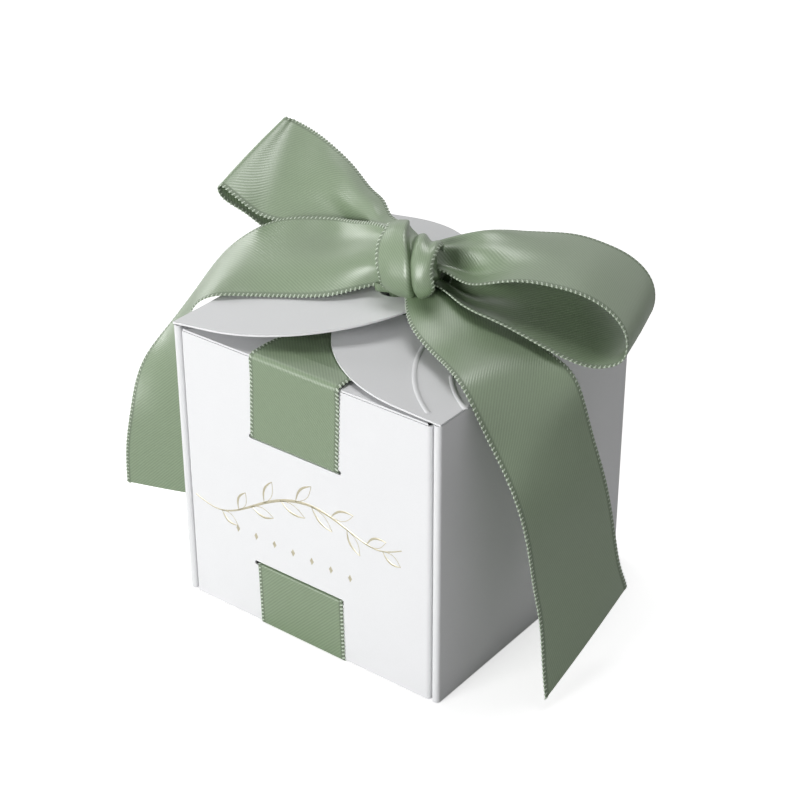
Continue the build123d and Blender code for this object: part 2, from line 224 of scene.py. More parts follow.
def grid_normals(grid, around=False):
    """Normal at each point of a grid of rows and columns."""
    along = np.gradient(grid, axis=0)
    if around:
        along = (np.roll(grid, -1, axis=0) - np.roll(grid, 1, axis=0)) / 2
    return unit(np.cross(along, np.gradient(grid, axis=1)))


def running_length(points):
    """Distance along a line of points, starting at zero."""
    return np.concatenate([[0], np.cumsum(np.linalg.norm(np.diff(points, axis=0), axis=1))])


def rounded_path(corners, radius, turn_steps=5):
    """Points of a path through corners, each rounded by an arc of the radius."""
    points = [np.array(corners[0], float)]
    for before, corner, after in zip(corners, corners[1:], corners[2:]):
        corner = np.array(corner, float)
        incoming = unit(corner - np.array(before, float))
        outgoing = unit(np.array(after, float) - corner)
        turn = math.acos(max(-1.0, min(1.0, float(incoming @ outgoing))))
        if turn < 1e-4:
            points.append(corner)
            continue
        reach = radius * math.tan(turn / 2)
        centre = corner + unit(outgoing - incoming) * radius / math.cos(turn / 2)
        start = corner - incoming * reach - centre
        finish = corner + outgoing * reach - centre
        for step in range(turn_steps + 1):
            share = step / turn_steps
            arm = math.sin((1 - share) * turn) * start + math.sin(share * turn) * finish
            points.append(centre + arm / math.sin(turn))
    points.append(np.array(corners[-1], float))
    return np.array(points)


def filled_in(points, longest):
    """The same line with points added where two lie further apart than the longest step."""
    made = [points[0]]
    for before, after in zip(points, points[1:]):
        count = max(1, math.ceil(float(np.linalg.norm(after - before)) / longest))
        made += [before + (after - before) * step / count for step in range(1, count + 1)]
    return np.array(made)


# Meshes


def add_object(name, data):
    """Object that shows the data, in the scene."""
    made = bpy.data.objects.new(name, data)
    bpy.context.scene.collection.objects.link(made)
    return made


def new_piece(name, points, faces, material, sharp_angle=50):
    """Object with a smooth shaded mesh whose faces point outward."""
    mesh = bpy.data.meshes.new(name)
    mesh.from_pydata([tuple(point) for point in points], [], faces)
    shape = bmesh.new()
    shape.from_mesh(mesh)
    bmesh.ops.recalc_face_normals(shape, faces=shape.faces)
    shape.to_mesh(mesh)
    shape.free()
    mesh.polygons.foreach_set("use_smooth", [True] * len(mesh.polygons))
    mesh.set_sharp_from_angle(angle=math.radians(sharp_angle))
    mesh.materials.append(material)
    return add_object(name, mesh)


def give_map(piece, coordinates):
    """Write each point's place on the flat ribbon, in metres, as the piece's own map."""
    layer = piece.data.uv_layers.new(name="cloth")
    corners = [value for loop in piece.data.loops for value in coordinates[loop.vertex_index]]
    layer.data.foreach_set("uv", corners)


def cloth_piece(name, grid, thickness, material, lengths=None, around=False):
    """Ribbon with a real thickness from a grid of rows along it and columns across it."""
    rows, columns = grid.shape[:2]
    normals = grid_normals(grid, around)
    points = np.concatenate([(grid + normals * thickness / 2).reshape(-1, 3),
                             (grid - normals * thickness / 2).reshape(-1, 3)])
    lower = rows * columns
    faces = []
    row_pairs = [(row, row + 1) for row in range(rows - 1)] + ([(rows - 1, 0)] if around else [])
    for row, following in row_pairs:
        for column in range(columns - 1):
            quad = (row * columns + column, row * columns + column + 1,
                    following * columns + column + 1, following * columns + column)
            faces.append(quad)
            faces.append(tuple(lower + corner for corner in reversed(quad)))
        for column in (0, columns - 1):
            first, second = row * columns + column, following * columns + column
            faces.append((first, second, lower + second, lower + first))
    if not around:
        for row in (0, rows - 1):
            for column in range(columns - 1):
                first, second = row * columns + column, row * columns + column + 1
                faces.append((first, second, lower + second, lower + first))
    piece = new_piece(name, points, faces, material)
    middle = grid[:, columns // 2]
    along = running_length(middle) if lengths is None else lengths
    across = np.linspace(0, ribbon_width, columns)
    places = [(along[row], across[column]) for row in range(rows) for column in range(columns)]
    give_map(piece, places + places)
    return piece


# Node trees


class Nodes:
    """Nodes of one tree, made with short calls."""

    def __init__(self, tree):
        self.tree = tree

    def node(self, kind, inputs=None, **settings):
        """New node with its settings, and its inputs as plain values or links."""
        made = self.tree.nodes.new(kind)
        for key, value in settings.items():
            setattr(made, key, value)
        for key, value in (inputs or {}).items():
            self.feed(made.inputs[key], value)
        return made

    def feed(self, socket, value):
        """Give a socket a link or a plain value."""
        if isinstance(value, bpy.types.NodeSocket):
            self.tree.links.new(value, socket)
        else:
            socket.default_value = value

    def sum(self, operation, first, second=0.0, third=None):
        """Result of one step of arithmetic."""
        inputs = {0: first, 1: second} if third is None else {0: first, 1: second, 2: third}
        return self.node("ShaderNodeMath", inputs, operation=operation).outputs[0]


class Finish(Nodes):
    """Nodes of a new material round its Principled shader."""

    def __init__(self, name):
        self.material = bpy.data.materials.new(name)
        self.material.use_nodes = True
        super().__init__(self.material.node_tree)
        self.shader = next(node for node in self.tree.nodes if node.type == "BSDF_PRINCIPLED")

    def noise(self, vector, scale, detail=2.0, roughness=0.5):
        """Value of a noise at a vector."""
        inputs = {"Vector": vector, "Scale": scale, "Detail": detail, "Roughness": roughness}
        return self.node("ShaderNodeTexNoise", inputs).outputs["Fac"]

    def blend_colours(self, share, first, second, blend_type="MIX"):
        """Second colour blended over the first by a share."""
        mixer = self.node("ShaderNodeMix", data_type="RGBA", blend_type=blend_type)
        colours = [socket for socket in mixer.inputs if socket.type == "RGBA"]
        self.feed(mixer.inputs[0], share)
        self.feed(colours[0], first)
        self.feed(colours[1], second)
        return next(socket for socket in mixer.outputs if socket.type == "RGBA")

    def bump(self, height, distance, strength=1.0):
        """Normal raised by a height."""
        inputs = {"Height": height, "Distance": distance, "Strength": strength}
        return self.node("ShaderNodeBump", inputs).outputs["Normal"]

    def set(self, **values):
        """Numbers and links on the shader's own sockets."""
        for key, value in values.items():
            self.feed(self.shader.inputs[key.replace("_", " ")], value)
        return self.material


# Edge stitches


def edge_guides(grid, around=False):
    """The two long edges of a ribbon's grid, each as points, outward faces and a closed flag."""
    normals = grid_normals(grid, around)
    guides = []
    for edge, beside in ((0, 1), (-1, -2)):
        inward = unit(grid[:, beside] - grid[:, edge])
        guides.append((grid[:, edge] + inward * stitch_inset, normals[:, edge], around))
    return guides


def guide_object(name, guides):
    """Lines for the stitches to follow, with the ribbon's facing direction kept on each point."""
    points, edges, facing = [], [], []
    for line, normals, around in guides:
        first = len(points)
        points += [tuple(point) for point in line]
        facing += [tuple(normal) for normal in normals]
        edges += [(first + step, first + step + 1) for step in range(len(line) - 1)]
        if around:
            edges.append((first + len(line) - 1, first))
    mesh = bpy.data.meshes.new(name)
    mesh.from_pydata(points, edges, [])
    attribute = mesh.attributes.new("facing", "FLOAT_VECTOR", "POINT")
    attribute.data.foreach_set("vector", np.array(facing, np.float32).ravel())
    return add_object(name, mesh)


def stitch_tree():
    """Geometry nodes that lay a row of slanted stitches along every guide line."""
    if "edge_stitches" in bpy.data.node_groups:
        return bpy.data.node_groups["edge_stitches"]
    tree = bpy.data.node_groups.new("edge_stitches", "GeometryNodeTree")
    tree.interface.new_socket("Geometry", in_out="INPUT", socket_type="NodeSocketGeometry")
    for label in ("Stitch pitch", "Stitch length", "Stitch width", "Stitch height", "Slant"):
        tree.interface.new_socket(label, in_out="INPUT", socket_type="NodeSocketFloat")
    tree.interface.new_socket("Thread", in_out="INPUT", socket_type="NodeSocketMaterial")
    tree.interface.new_socket("Geometry", in_out="OUTPUT", socket_type="NodeSocketGeometry")
    nodes = Nodes(tree)
    given = nodes.node("NodeGroupInput").outputs
    line = nodes.node("GeometryNodeMeshToCurve", {"Mesh": given["Geometry"]})
    places = nodes.node("GeometryNodeResampleCurve", {
        "Curve": line.outputs["Curve"], "Length": given["Stitch pitch"]}, mode="LENGTH")

    facing = nodes.node("GeometryNodeInputNamedAttribute", {"Name": "facing"}, data_type="FLOAT_VECTOR")
    direction = nodes.node("GeometryNodeInputTangent")
    turn = nodes.node("FunctionNodeAxesToRotation", {
        "Primary Axis": facing.outputs["Attribute"], "Secondary Axis": direction.outputs["Tangent"]},
        primary_axis="Z", secondary_axis="X")
    slant_axis = nodes.node("ShaderNodeCombineXYZ", {"Z": given["Slant"]})
    slant = nodes.node("FunctionNodeEulerToRotation", {"Euler": slant_axis.outputs["Vector"]})
    slanted = nodes.node("FunctionNodeRotateRotation", {
        "Rotation": turn.outputs["Rotation"], "Rotate By": slant.outputs["Rotation"]},
        rotation_space="LOCAL")

    bead = nodes.node("GeometryNodeMeshUVSphere", {"Segments": 8, "Rings": 5, "Radius": 0.5})
    size = nodes.node("ShaderNodeCombineXYZ", {
        "X": given["Stitch width"], "Y": given["Stitch length"], "Z": given["Stitch height"]})
    stitches = nodes.node("GeometryNodeInstanceOnPoints", {
        "Points": places.outputs["Curve"], "Instance": bead.outputs["Mesh"],
        "Rotation": slanted.outputs["Rotation"], "Scale": size.outputs["Vector"]})

    real = nodes.node("GeometryNodeRealizeInstances", {"Geometry": stitches.outputs["Instances"]})
    smooth = nodes.node("GeometryNodeSetShadeSmooth", {"Geometry": real.outputs["Geometry"]})
    finish = nodes.node("GeometryNodeSetMaterial", {
        "Geometry": smooth.outputs["Geometry"], "Material": given["Thread"]})
    nodes.node("NodeGroupOutput", {"Geometry": finish.outputs["Geometry"]})
    return tree


def stitched(name, guides):
    """Row of stitches along each guide, made a plain mesh."""
    ribbon = bpy.context.scene.favor_box_ribbon
    guide = guide_object(name, guides)
    tree = stitch_tree()
    modifier = guide.modifiers.new("stitches", "NODES")
    modifier.node_group = tree
    wanted = {"Stitch pitch": ribbon.stitch_pitch, "Stitch length": ribbon.stitch_length,
              "Stitch width": ribbon.stitch_width, "Stitch height": stitch_height,
              "Slant": stitch_slant, "Thread": stitch_material()}
    for socket in tree.interface.items_tree:
        if socket.in_out == "INPUT" and socket.name in wanted:
            modifier[socket.identifier] = wanted[socket.name]
    evaluated = guide.evaluated_get(bpy.context.evaluated_depsgraph_get())
    mesh = bpy.data.meshes.new_from_object(evaluated)
    guide.modifiers.remove(modifier)
    bpy.data.objects.remove(guide)
    mesh.name = name
    for attribute in [a.name for a in mesh.attributes if a.name in ("facing", "UVMap")]:
        mesh.attributes.remove(mesh.attributes[attribute])
    return add_object(name, mesh)


# Materials


def solid(colour, factor=1.0):
    """Colour with full opacity, made lighter or darker by a factor."""
    return (*[min(1.0, channel * factor) for channel in colour], 1.0)


def known(name):
    """Material of that name, if it has been made."""
    return bpy.data.materials.get(name)


def card_material():
    """Coated white card with faint fibres and a very slight unevenness."""
    if known("card_white"):
        return known("card_white")
    settings = bpy.context.scene.favor_box_card
    finish = Finish("card_white")
    place = finish.node("ShaderNodeTexCoord").outputs["Object"]
    fibres = finish.noise(place, 2600.0, 4.0, 0.65)
    mottle = finish.noise(place, 90.0, 2.0)
    tone = finish.blend_colours(mottle, solid(settings.colour, 0.985), solid(settings.colour, 1.015))
    speck = finish.sum("MULTIPLY_ADD", fibres, 0.05, 0.975)
    shade = finish.node("ShaderNodeCombineColor", {0: speck, 1: speck, 2: speck}).outputs[0]
    result = finish.blend_colours(1.0, tone, shade, "MULTIPLY")
    rough = finish.sum("MULTIPLY_ADD", fibres, 0.12, settings.roughness)
    normal = finish.bump(fibres, 0.02 * mm, 0.35)
    return finish.set(Base_Color=result, Roughness=rough, Normal=normal, Specular_IOR_Level=0.35)


def satin_material():
    """Satin with fine slanting ribs, silky streaks and a duller woven edge, with painted shade and highlight
    along the ribs and streaks in its colour.
    """
    if known("satin_sage"):
        return known("satin_sage")
    settings = bpy.context.scene.favor_box_ribbon
    finish = Finish("satin_sage")
    place = finish.node("ShaderNodeUVMap", uv_map="cloth").outputs["UV"]
    parts = finish.node("ShaderNodeSeparateXYZ", {"Vector": place}).outputs
    along, across = parts["X"], parts["Y"]
    rib_steps = 2 * math.pi / settings.rib_pitch * math.sqrt(0.5)
    slanting = finish.sum("ADD", along, across)
    sway = finish.noise(place, 260.0, 1.0)
    phase = finish.sum("MULTIPLY_ADD", sway, 1.6, finish.sum("MULTIPLY", slanting, rib_steps))
    rib = finish.sum("MULTIPLY_ADD", finish.sum("SINE", phase), 0.5, 0.5)
    turned = finish.node("ShaderNodeMapping", {"Vector": place, "Rotation": (0, 0, math.radians(-45)),
                                               "Scale": (5200.0, 420.0, 1.0)}).outputs["Vector"]
    threads = finish.noise(turned, 1.0, 3.0, 0.6)
    patches = finish.noise(place, 150.0, 2.0)
    weave_and_rib_shade = finish.sum("MULTIPLY_ADD", threads, 0.45, finish.sum("MULTIPLY", rib, 0.55))
    from_edge = finish.sum("SUBTRACT", ribbon_width / 2,
                           finish.sum("ABSOLUTE", finish.sum("SUBTRACT", across, ribbon_width / 2)))
    body_share = finish.node("ShaderNodeMapRange", {"Value": from_edge, "From Min": duller_edge,
                                                    "From Max": satin_start}).outputs["Result"]
    # Painted shade and highlight: the colour goes darker and lighter along the ribs and silky streaks, the
    # way they catch the light, on top of the weave's own tone.
    base = finish.blend_colours(weave_and_rib_shade, solid(settings.colour, 0.72), solid(settings.colour, 1.28))
    base = finish.blend_colours(finish.sum("MULTIPLY", patches, 0.25), base, solid(settings.colour, 1.1))
    base = finish.blend_colours(body_share, solid(settings.colour, 0.62), base)
    rough = finish.sum("MULTIPLY_ADD", threads, 0.14, settings.roughness - 0.07)
    rough = finish.sum("ADD", rough, finish.sum("MULTIPLY", finish.sum("SUBTRACT", 1.0, body_share), 0.3))
    normal = finish.bump(weave_and_rib_shade, 0.065 * mm, 0.55)
    tangent = finish.node("ShaderNodeTangent", direction_type="UV_MAP", uv_map="cloth").outputs["Tangent"]
    return finish.set(Base_Color=base, Roughness=rough, Normal=normal, Specular_IOR_Level=1.0,
                      IOR=1.55, Sheen_Weight=0.05, Sheen_Roughness=0.35, Anisotropic=0.4,
                      Anisotropic_Rotation=0.25, Tangent=tangent)


def stitch_material():
    """Silky thread of the edge stitches."""
    if known("stitch_thread"):
        return known("stitch_thread")
    settings = bpy.context.scene.favor_box_ribbon
    finish = Finish("stitch_thread")
    place = finish.node("ShaderNodeTexCoord").outputs["Object"]
    strands = finish.noise(place, 5200.0, 2.0, 0.6)
    tone = finish.blend_colours(strands, solid(settings.stitch_colour, 0.82),
                                solid(settings.stitch_colour, 1.12))
    normal = finish.bump(strands, 0.03 * mm, 0.4)
    return finish.set(Base_Color=tone, Roughness=0.42, Normal=normal, Specular_IOR_Level=0.6,
                      Sheen_Weight=0.2)


def foil_material():
    """Pale gold foil with a fine grain from the card below."""
    if known("foil_gold"):
        return known("foil_gold")
    settings = bpy.context.scene.favor_box_card
    finish = Finish("foil_gold")
    place = finish.node("ShaderNodeTexCoord").outputs["Object"]
    grain = finish.noise(place, 1800.0, 3.0)
    tone = finish.blend_colours(grain, solid(settings.foil_colour, 0.85), solid(settings.foil_colour, 1.18))
    rough = finish.sum("MULTIPLY_ADD", grain, 0.2, 0.28)
    normal = finish.bump(grain, 0.02 * mm, 0.5)
    return finish.set(Base_Color=tone, Roughness=rough, Normal=normal, Metallic=0.75)


# Ribbon runs of the bow. Each row places one cross-section: across and back (of half the box's
# width), up (of the bow's rise, over the flaps), down (of the box's height), the direction across
# the ribbon in x, y and z, its width, the height of its crown and that of the roll from one half
# of its width to the other (these three of the ribbon's width). Many rows were not chosen by hand:
# programs made them from edges traced on the photograph.
left_tail_shares = [
    (0.017, -0.133, 0.328, 0.000, -0.08, 0.40, 0.91, 0.36, 0.05, 0.03),
    (-0.100, -0.080, 0.340, 0.000, -0.30, 0.52, 0.80, 0.50, 0.08, 0.05),
    (-0.300, -0.080, 0.300, 0.000, -0.51, 0.71, 0.48, 0.75, 0.08, 0.05),
    (-0.480, -0.100, 0.260, 0.000, -0.54, 0.77, 0.34, 0.98, 0.07, 0.05),
    (-0.700, -0.170, 0.250, 0.000, -0.51, 0.78, 0.36, 1.00, 0.05, 0.03),
    (-0.950, -0.250, 0.220, 0.000, -0.43, 0.85, 0.30, 1.00, 0.02, 0.01),
    (-1.190, -0.360, 0.050, 0.000, -0.52, 0.85, 0.02, 1.00, 0.01, 0.00),
    (-1.350, -0.430, 0.000, 0.090, -0.60, 0.78, -0.18, 1.00, 0.01, 0.00),
    (-1.420, -0.510, 0.000, 0.240, -0.84, 0.52, -0.17, 1.00, 0.01, 0.00),
    (-1.450, -0.550, 0.000, 0.380, -0.99, 0.10, -0.03, 1.00, 0.01, 0.00),
    (-1.470, -0.550, 0.000, 0.530, -0.96, -0.26, 0.03, 1.00, 0.01, 0.00),
    (-1.510, -0.570, 0.000, 0.680, -0.94, -0.33, 0.00, 1.00, 0.01, 0.00),
    (-1.520, -0.580, 0.000, 0.830, -0.94, -0.33, 0.00, 1.00, 0.01, 0.00),
]
right_tail_shares = [
    (0.220, -0.100, 0.090, 0.000, 0.37, 0.92, 0.13, 0.39, 0.06, 0.00),
    (0.410, -0.200, 0.010, 0.000, 0.23, 0.97, 0.06, 0.67, 0.06, 0.00),
    (0.670, -0.250, -0.060, 0.000, 0.22, 0.97, 0.06, 0.89, 0.05, 0.00),
    (1.050, -0.400, -0.170, 0.000, 0.18, 0.98, 0.05, 0.99, 0.03, 0.00),
    (1.220, -0.400, 0.000, 0.060, 0.20, 0.92, 0.33, 1.01, 0.02, 0.00),
    (1.340, -0.380, 0.000, 0.200, 0.16, 0.94, 0.29, 0.99, 0.01, 0.00),
    (1.430, -0.350, 0.000, 0.360, 0.16, 0.96, 0.24, 1.00, 0.01, 0.00),
    (1.480, -0.310, 0.000, 0.540, 0.20, 0.96, 0.21, 1.00, 0.01, 0.00),
    (1.520, -0.280, 0.000, 0.690, 0.20, 0.94, 0.26, 1.01, 0.01, 0.00),
    (1.570, -0.270, 0.000, 0.850, 0.09, 0.86, 0.50, 1.28, 0.01, 0.00),
]
left_loop_shares = [
    (0.027, 0.024, 0.344, 0.000, 0.00, 0.47, 0.88, 0.29, 0.06, -0.03),
    (-0.120, 0.080, 0.380, 0.000, -0.01, 0.58, 0.82, 0.35, 0.08, -0.04),
    (-0.260, 0.150, 0.380, 0.000, -0.13, 0.54, 0.83, 0.36, 0.10, -0.05),
    (-0.380, 0.210, 0.420, 0.000, -0.07, 0.57, 0.82, 0.45, 0.10, -0.06),
    (-0.540, 0.250, 0.460, 0.000, -0.03, 0.66, 0.75, 0.54, 0.10, -0.06),
    (-0.750, 0.310, 0.550, 0.000, -0.15, 0.73, 0.67, 0.72, 0.08, -0.04),
    (-0.980, 0.330, 0.660, 0.000, -0.17, 0.76, 0.63, 0.89, 0.05, -0.02),
    (-1.230, 0.330, 0.700, 0.000, -0.08, 0.82, 0.56, 1.04, 0.02, 0.00),
    (-1.380, 0.320, 0.780, 0.000, -0.07, 0.89, 0.46, 1.05, 0.01, 0.00),
    (-1.448, 0.309, 0.824, 0.000, 0.07, 0.90, 0.42, 1.00, 0.01, 0.00),
    (-1.467, 0.309, 0.826, 0.000, 0.07, 0.90, 0.42, 1.00, 0.01, 0.00),
    (-1.483, 0.309, 0.812, 0.000, 0.07, 0.90, 0.42, 1.00, 0.01, 0.00),
    (-1.493, 0.309, 0.788, 0.000, 0.07, 0.90, 0.42, 1.00, 0.01, 0.00),
    (-1.492, 0.309, 0.760, 0.000, 0.07, 0.90, 0.42, 1.00, 0.01, 0.00),
    (-1.440, 0.330, 0.650, 0.000, 0.07, 0.91, 0.41, 1.00, 0.01, 0.00),
    (-1.340, 0.370, 0.550, 0.000, 0.03, 0.92, 0.39, 1.00, 0.02, 0.00),
    (-1.220, 0.400, 0.430, 0.000, 0.00, 0.93, 0.36, 1.00, 0.02, 0.00),
    (-0.880, 0.430, 0.310, 0.000, 0.00, 0.95, 0.30, 0.92, 0.03, 0.00),
    (-0.640, 0.350, 0.220, 0.000, 0.00, 0.95, 0.30, 0.72, 0.04, 0.00),
    (-0.370, 0.240, 0.240, 0.000, 0.00, 0.90, 0.43, 0.52, 0.05, 0.00),
    (-0.130, 0.130, 0.220, 0.000, 0.00, 0.90, 0.43, 0.36, 0.05, 0.00),
    (0.032, 0.040, 0.148, 0.000, 0.00, 0.98, 0.21, 0.25, 0.03, 0.00),
]
right_loop_shares = [
    (0.180, -0.050, 0.380, 0.000, -0.35, 0.94, 0.03, 0.46, 0.03, -0.02),
    (0.260, 0.040, 0.370, 0.000, -0.25, 0.95, 0.18, 0.46, 0.03, -0.05),
    (0.380, 0.080, 0.380, 0.000, -0.21, 0.93, 0.30, 0.57, 0.03, -0.08),
    (0.510, 0.100, 0.410, 0.000, -0.26, 0.93, 0.25, 0.76, 0.03, -0.08),
    (0.630, 0.150, 0.440, 0.000, -0.35, 0.93, 0.11, 0.88, 0.03, -0.05),
    (0.770, 0.240, 0.450, 0.000, -0.37, 0.93, 0.03, 0.96, 0.03, -0.02),
    (0.930, 0.330, 0.430, 0.000, -0.35, 0.94, 0.03, 1.00, 0.02, 0.00),
    (1.090, 0.390, 0.380, 0.000, -0.34, 0.94, 0.02, 1.00, 0.02, 0.00),
    (1.250, 0.440, 0.270, 0.000, -0.33, 0.94, 0.03, 1.00, 0.01, 0.00),
    (1.360, 0.440, 0.140, 0.000, -0.29, 0.96, -0.02, 1.00, 0.01, 0.00),
    (1.410, 0.410, -0.030, 0.000, -0.30, 0.95, -0.11, 0.99, 0.01, 0.00),
    (1.390, 0.370, -0.160, 0.000, -0.36, 0.92, -0.11, 1.00, 0.01, 0.00),
    (1.300, 0.320, -0.160, 0.000, -0.41, 0.91, 0.05, 1.00, 0.01, 0.00),
    (1.160, 0.230, -0.080, 0.000, -0.45, 0.87, 0.20, 1.00, 0.01, 0.00),
    (1.020, 0.170, 0.000, 0.000, -0.46, 0.86, 0.21, 1.00, 0.02, 0.00),
    (0.820, 0.130, 0.090, 0.000, -0.46, 0.87, 0.18, 1.00, 0.03, 0.00),
    (0.650, 0.070, 0.140, 0.000, -0.45, 0.88, 0.15, 0.87, 0.05, 0.01),
    (0.450, 0.010, 0.180, 0.000, -0.42, 0.89, 0.18, 0.64, 0.08, 0.02),
    (0.260, 0.000, 0.220, 0.000, -0.42, 0.89, 0.18, 0.44, 0.06, 0.02),
    (0.180, -0.050, 0.240, 0.000, -0.45, 0.89, 0.08, 0.41, 0.02, 0.00),
]

# Name, rows, the side that the crown rises on, the number of small pleats where the run is
# gathered, and their height as a share of the ribbon's width
bow_runs = [
    ("left_loop", left_loop_shares, -1, 2.5, 0.025),
    ("right_loop", right_loop_shares, 1, 2.5, 0.08),
    ("left_tail", left_tail_shares, -1, 2.0, 0.02),
    ("right_tail", right_tail_shares, 1, 2.0, 0.02),
]
run_step = 0.9 * mm
columns_across = 41


def ridge(across):
    """Height of the upper round flap over the box's top edge."""
    return math.tan(math.radians(left_flap_tilt)) * min(max(half_width + across, 0), lobe_length)


def run_grid(shares, side, pleats, pleat_share):
    """Grid of a run of the bow's ribbon, smooth along it and folded across it."""
    rows = []
    for across, back, up, down, *section in shares:
        level = (1 - down) * box_height + up * bow_rise
        if down == 0:
            level += ridge(across * half_width)
        rows.append([across * half_width, back * half_width, level, *section])
    rows = np.array(rows)
    places = running_length(rows[:, :3])
    wanted = [0.0]
    for start, finish in zip(places, places[1:]):
        count = max(3, round((finish - start) / run_step))
        wanted += list(start + (finish - start) * np.arange(1, count + 1) / count)
    fine = natural_spline(places, rows, np.array(wanted))
    middle, sideways = fine[:, :3], unit(fine[:, 3:6])
    ahead = unit(np.gradient(middle, axis=0))
    outward = unit(np.cross(ahead, sideways))
    width, crown, roll = fine[:, 6:7], fine[:, 7:8], fine[:, 8:9]
    v = np.linspace(0, 1, columns_across)[None, :]
    gathered = np.clip(1 - width, 0, 1)
    fold = crown * np.sin(np.pi * v) + roll * np.sin(2 * np.pi * v)
    fold += gathered * pleat_share * np.sin(2 * np.pi * pleats * v) * np.sin(np.pi * v)
    fold -= bow_cloth / 2 / ribbon_width
    grid = middle[:, None] + sideways[:, None] * ((v - 0.5) * width * ribbon_width)[..., None]
    return grid + outward[:, None] * (side * fold * ribbon_width)[..., None]


# Knot. Each row is a station round the knot, in degrees from the top over the front, with the
# place across the box and the radius of ten lines across the band, in millimetres: stitched edge,
# broad pleat, its crest, the fold under it (two lines), second pleat (two), groove, rim, edge.
# The front stations were typed in from places that a program solved, out of edges traced on the
# photograph.
knot_stations = [
    (-60, (-4.6, -2.8, -1.2, -0.4, 1.4, 2.8, 4.0, 6.0, 8.2, 10.2),
     (4.6, 6.5, 7.4, 6.8, 5.7, 5.2, 5.2, 3.9, 4.8, 4.3)),
    (-36, (-4.6, -2.4, 0.0, 0.5, 2.4, 3.8, 5.0, 7.0, 9.2, 10.8),
     (4.8, 6.9, 7.6, 5.4, 4.5, 5.0, 5.2, 3.8, 4.9, 4.4)),
    (-8, (-2.9, -0.3, 2.4, 2.7, 4.3, 5.8, 7.2, 9.0, 11.0, 12.2),
     (6.2, 7.5, 8.0, 5.0, 4.4, 6.0, 6.5, 4.9, 6.0, 5.3)),
    (18, (-1.4, 1.3, 4.4, 4.4, 5.8, 7.4, 8.9, 10.8, 12.3, 13.1),
     (6.9, 7.7, 8.2, 5.1, 4.8, 6.9, 7.4, 6.4, 6.9, 6.1)),
    (42, (-1.3, 2.2, 6.6, 6.3, 7.0, 8.6, 10.2, 11.8, 13.0, 13.6),
     (6.8, 7.6, 8.2, 5.2, 5.2, 7.4, 7.7, 7.3, 7.1, 6.3)),
    (66, (-0.9, 3.6, 8.6, 8.1, 7.9, 9.1, 10.8, 12.4, 13.4, 14.0),
     (6.9, 7.8, 8.3, 5.4, 5.3, 7.5, 7.9, 7.7, 7.2, 6.3)),
    (86, (-0.1, 4.2, 9.7, 9.0, 8.7, 9.9, 11.4, 12.9, 14.0, 14.6),
     (7.4, 8.4, 8.6, 5.4, 5.3, 7.8, 8.2, 7.9, 7.2, 6.3)),
    (108, (0.9, 4.6, 9.9, 9.2, 9.0, 10.1, 11.4, 13.0, 14.3, 14.9),
     (8.1, 9.1, 8.9, 5.4, 5.3, 7.9, 8.4, 8.0, 7.3, 6.5)),
    (128, (0.9, 4.6, 9.4, 9.0, 8.8, 9.7, 10.8, 11.8, 12.6, 13.1),
     (8.3, 9.1, 8.6, 5.4, 5.3, 7.6, 8.1, 7.9, 7.5, 6.8)),
    (144, (2.4, 5.0, 8.4, 8.2, 8.2, 9.0, 9.9, 10.7, 11.4, 11.9),
     (8.5, 8.8, 8.2, 5.2, 5.1, 7.2, 7.8, 7.6, 7.2, 6.6)),
    (162, (2.6, 4.8, 7.8, 7.7, 7.9, 8.8, 9.8, 10.8, 11.5, 12.0),
     (7.3, 7.8, 7.6, 5.1, 5.0, 6.6, 7.1, 6.9, 6.6, 6.0)),
    (190, (0.6, 3.8, 7.3, 7.3, 7.8, 9.0, 10.2, 11.4, 12.3, 12.8),
     (5.4, 6.8, 7.0, 5.0, 4.9, 6.2, 6.7, 6.4, 6.0, 5.4)),
    (228, (-1.4, 1.8, 5.4, 5.5, 6.4, 7.8, 9.2, 10.6, 11.8, 12.4),
     (4.8, 6.4, 7.1, 5.6, 5.2, 5.8, 6.3, 5.8, 5.8, 5.2)),
    (266, (-3.2, -0.6, 2.0, 2.6, 4.0, 5.4, 7.0, 8.6, 10.2, 11.2),
     (4.6, 6.4, 7.6, 7.2, 6.2, 5.6, 5.8, 4.6, 5.4, 4.8)),
]
knot_steps = (8, 9, 5, 3, 5, 5, 5, 5, 4)     # columns between one line and the next
knot_centre = Vector((0, -3.0 * mm, 87.7 * mm))
knot_rows = 96
knot_row_length = 0.5 * mm      # along the band, for its ribs

# Turns inside the knot, which follow the band from within
core_rings = 17
core_start = 0.08               # shares of the band's width
core_end = 0.90
core_window = 0.9 * mm          # the least radius is looked for this far to each side
core_clearance = 1.1 * mm       # between the band's middle surface and the core
core_tips = (0.3, 0.5)          # the core's thickness at its two ends, as a share of the full one
core_rises = (3, 4)             # and how fast it grows from there

# Gathered stem under the knot, which spreads over the upper round flap's hole
stem_rings = 11
stem_turns = 48
stem_pleats = 9
stem_pleat_share = 0.16
flare_start = 0.2 * mm          # above the flap
flare_height = 0.8 * mm
flare_across = 0.85             # shares of the stem's reach
flare_back = 0.65
flare_shift = 2.0 * mm          # to the left


